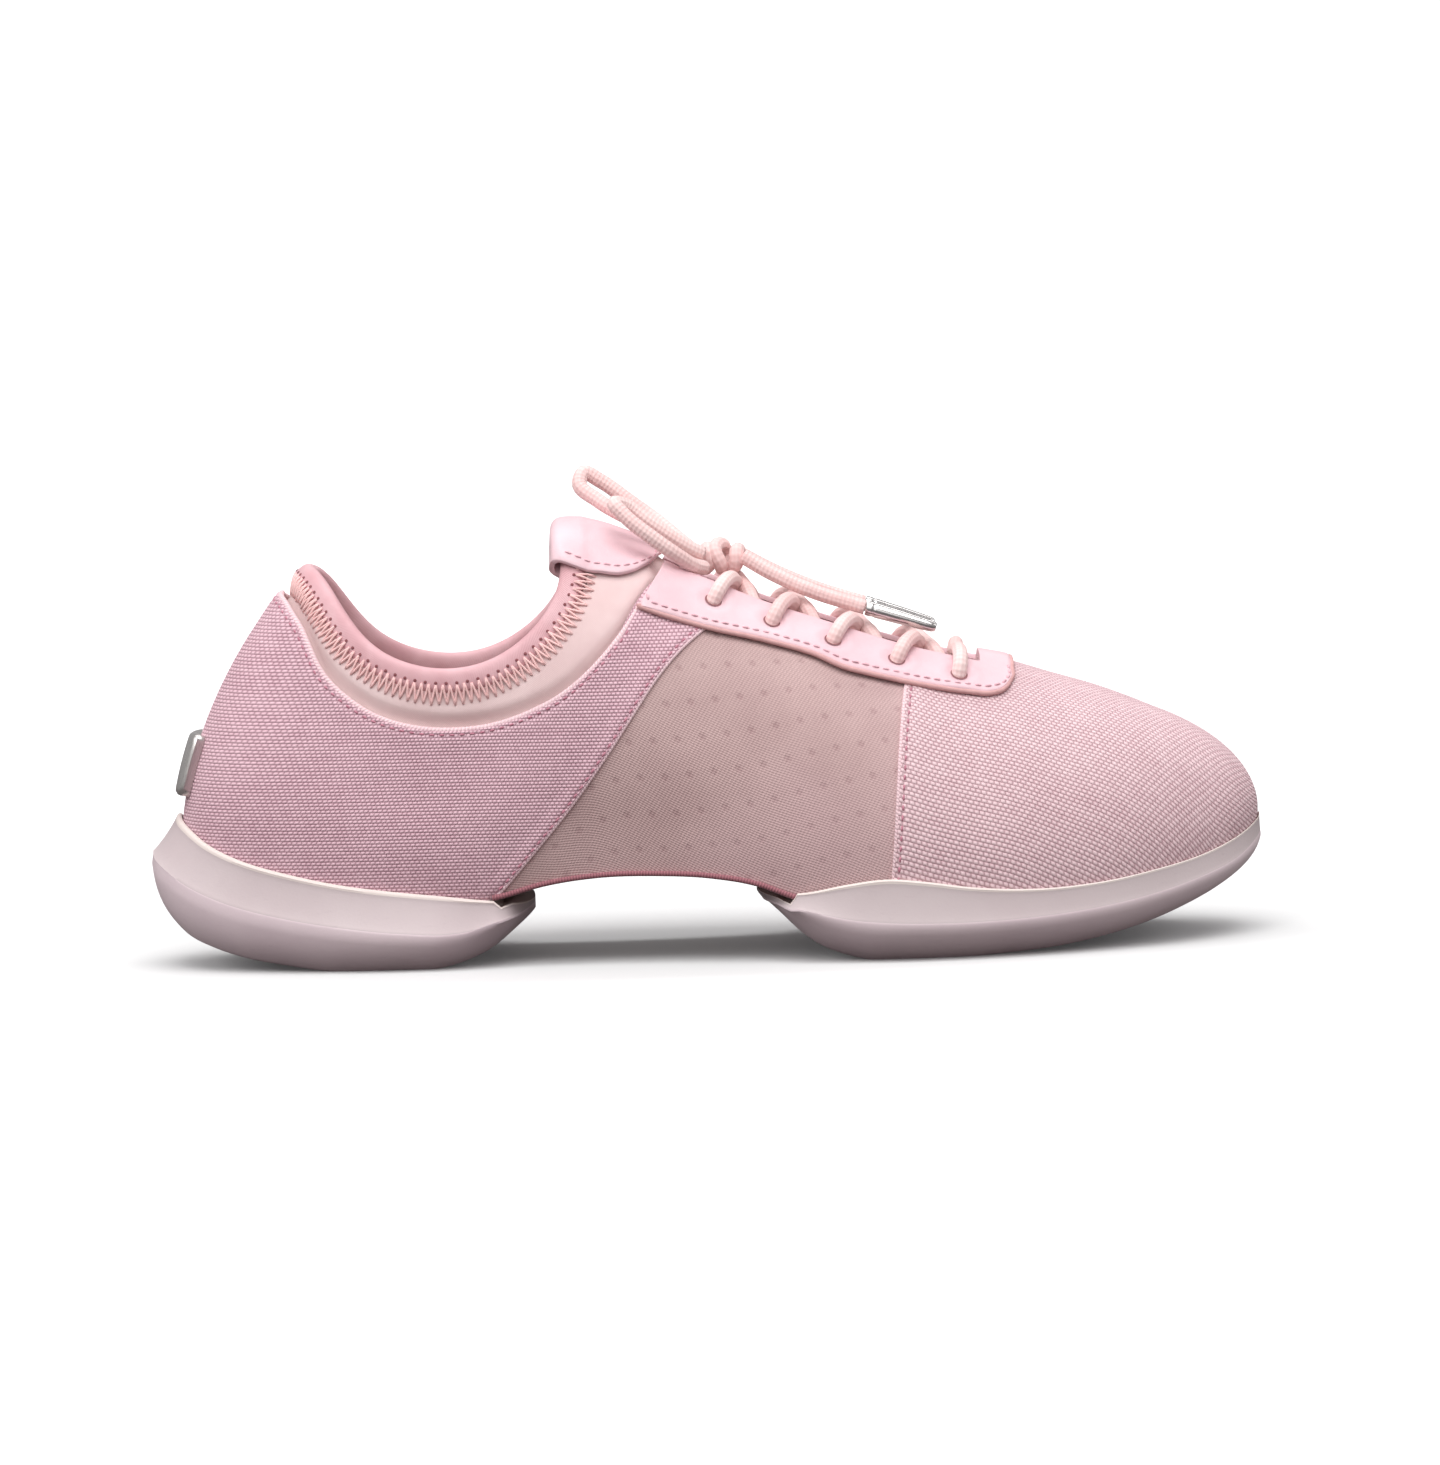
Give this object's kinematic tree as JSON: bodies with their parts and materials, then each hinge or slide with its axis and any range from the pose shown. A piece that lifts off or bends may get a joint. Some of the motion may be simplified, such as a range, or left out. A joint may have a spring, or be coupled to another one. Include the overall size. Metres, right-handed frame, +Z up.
{
  "type": "dance sneaker",
  "caption": "Low dance sneaker for the right foot with split sole, mesh and canvas upper, sock collar, leather eyestay and a bow-tied round lace",
  "frame": {"origin": "centre of the shoe's box, without its free lace, on the floor plane", "axes": "+X to the toe, +Z up, -Y the outer side of the right foot (the side in the picture)"},
  "size_m": [0.269, 0.0886, 0.1169],
  "materials": {
    "foam": "matte moulding, light upper facet and greyer lower facet",
    "canvas": "woven canvas and fine mesh, dusty pink",
    "sock": "smooth stretch sock cloth, cream",
    "lycra": "soft stretch binding, pink",
    "leather": "smooth fine-grained leather, pink",
    "lining": "plain cloth",
    "cord": "round braided cord, pale pink",
    "metal": "bright metal"
  },
  "bodies": {
    "root": {"heel_sole": "foam", "forefoot_sole": "foam", "upper": "canvas", "sock_and_tongue": "sock", "collar_binding": "lycra", "eyestay": "leather", "tongue_tab": "leather", "insole": "lining", "heel_plate": "metal", "lace_bar": "cord", "lace_crossing_1": "cord", "lace_crossing_2": "cord", "lace_crossing_3": "cord", "lace_crossing_4": "cord", "lace_knot": "cord", "lace_loop_inner": "cord", "lace_loop_outer": "cord", "lace_end_inner": "cord", "lace_end_outer": "cord", "aglet_inner": "metal", "aglet_outer": "metal"}
  },
  "joints": []
}
